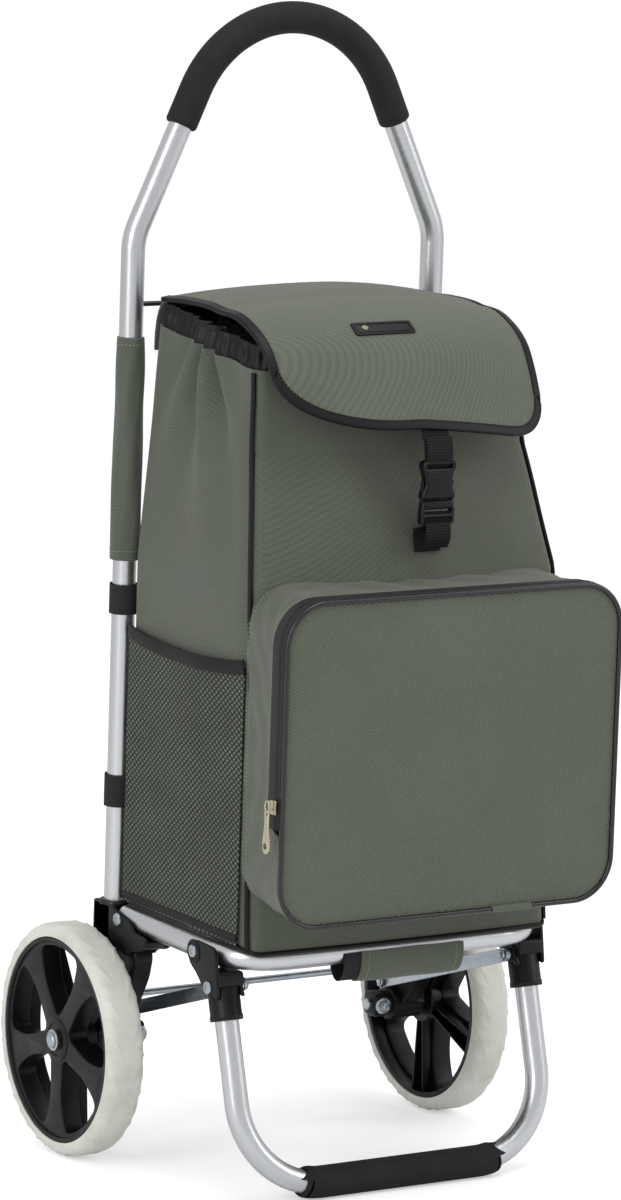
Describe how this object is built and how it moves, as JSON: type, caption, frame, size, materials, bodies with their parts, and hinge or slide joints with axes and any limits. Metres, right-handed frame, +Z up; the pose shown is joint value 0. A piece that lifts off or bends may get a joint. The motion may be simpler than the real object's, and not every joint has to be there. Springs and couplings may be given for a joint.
{
  "type": "folding shopping trolley",
  "caption": "Folding two-wheeled shopping trolley: arched tube handle, fabric bag with flap lid and zipped front pocket, load platform, stand leg and spoked wheels.",
  "frame": {"origin": "on the floor, in the middle of the trolley's width and depth", "axes": "+Z up, -Y the front with the zipped pocket, +X the right of someone facing that front"},
  "size_m": [0.41, 0.412, 0.9775],
  "materials": {
    "tube": "satin silver tube",
    "zinc": "bright zinc plate",
    "black_plastic": "fine matte texture",
    "foam": "matte foam",
    "tyre": "cream, matte, moulded tread",
    "olive_fabric": "olive twill",
    "black_fabric": "black webbing and binding",
    "mesh": "black net over olive cloth",
    "board": "plain",
    "pull": "pale gold nickel"
  },
  "bodies": {
    "chassis": {"handle_frame": "tube", "handle_grip": "foam", "hanger_bar": "zinc", "left_rear_bracket": "black_plastic", "right_rear_bracket": "black_plastic", "left_axle": "zinc", "right_axle": "zinc", "left_axle_clamp_bolt": "zinc", "right_axle_clamp_bolt": "zinc", "left_platform_pivot_bolt": "zinc", "right_platform_pivot_bolt": "zinc", "left_link_pivot_bolt": "zinc", "right_link_pivot_bolt": "zinc", "left_wheel_nut": "zinc", "right_wheel_nut": "zinc", "cross_rod": "zinc", "bag_body": "olive_fabric", "base_board": "board", "mouth_collar": "black_fabric", "pocket_panel": "olive_fabric", "pocket_piping": "black_fabric", "zip_tape": "black_fabric", "pocket_gusset": "olive_fabric", "left_mesh_pocket": "mesh", "right_mesh_pocket": "mesh", "left_corner_piping": "black_fabric", "right_corner_piping": "black_fabric", "left_tube_sleeve": "olive_fabric", "right_tube_sleeve": "olive_fabric", "left_upper_tape_strap": "black_fabric", "right_upper_tape_strap": "black_fabric", "left_lower_tape_strap": "black_fabric", "right_lower_tape_strap": "black_fabric", "buckle_plug": "black_plastic", "lower_webbing": "black_fabric"},
    "platform": {"platform_frame": "tube", "crosspiece_strap": "olive_fabric", "left_leg_pivot_bolt": "zinc", "right_leg_pivot_bolt": "zinc"},
    "leg": {"stand_leg": "tube", "foot_sleeve": "foam", "left_leg_bracket": "black_plastic", "right_leg_bracket": "black_plastic", "left_leg_link_bolt": "zinc", "right_leg_link_bolt": "zinc"},
    "left_link": {"left_link": "zinc"},
    "right_link": {"right_link": "zinc"},
    "left_wheel": {"left_rim": "black_plastic", "left_tyre": "tyre"},
    "right_wheel": {"right_rim": "black_plastic", "right_tyre": "tyre"},
    "flap": {"flap_panel": "olive_fabric", "flap_binding": "black_fabric", "flap_label": "black_plastic", "upper_webbing": "black_fabric", "buckle_socket": "black_plastic"},
    "slider": {"zip_slider": "pull"},
    "pull": {"zip_pull": "pull"}
  },
  "joints": [
    {"name": "platform_fold", "type": "hinge", "parent": "chassis", "child": "platform", "pos_m": [0, 0.06474, 0.20763], "axis": [-1, 0, 0], "range_deg": [0, 85], "deforming": ["bag_body", "base_board", "pocket_gusset", "left_corner_piping", "right_corner_piping", "left_mesh_pocket", "right_mesh_pocket"]},
    {"name": "leg_fold", "type": "hinge", "parent": "platform", "child": "leg", "pos_m": [0, -0.06118, 0.20326], "axis": [-1, 0, 0], "range_deg": [-92.39, 0]},
    {"name": "left_link_swing", "type": "hinge", "parent": "chassis", "child": "left_link", "pos_m": [0, 0.10532, 0.11949], "axis": [-1, 0, 0], "range_deg": [0, 50.61]},
    {"name": "right_link_swing", "type": "hinge", "parent": "chassis", "child": "right_link", "pos_m": [0, 0.10532, 0.11949], "axis": [-1, 0, 0], "range_deg": [0, 50.61]},
    {"name": "left_wheel_spin", "type": "hinge", "parent": "chassis", "child": "left_wheel", "pos_m": [-0.183, 0.106, 0.1], "axis": [1, 0, 0], "continuous": true},
    {"name": "right_wheel_spin", "type": "hinge", "parent": "chassis", "child": "right_wheel", "pos_m": [0.183, 0.106, 0.1], "axis": [1, 0, 0], "continuous": true},
    {"name": "flap_open", "type": "hinge", "parent": "chassis", "child": "flap", "pos_m": [0, 0.05334, 0.73756], "axis": [-1, 0, 0], "range_deg": [0, 90]},
    {"name": "zip_slide", "type": "slide", "parent": "chassis", "child": "slider", "axis": [0, -0.0347, 0.9994], "range_m": [0, 0.112]},
    {"name": "zip_pull_swing", "type": "hinge", "parent": "slider", "child": "pull", "pos_m": [-0.167, -0.19001, 0.34887], "axis": [0, 0.9994, 0.0347], "range_deg": [0, 110]}
  ],
  "couplings": [
    {"joint": "leg_fold", "follows": "platform_fold", "ratio": -1.0869},
    {"joint": "left_link_swing", "follows": "platform_fold", "ratio": 0.5953},
    {"joint": "right_link_swing", "follows": "platform_fold", "ratio": 0.5953}
  ]
}
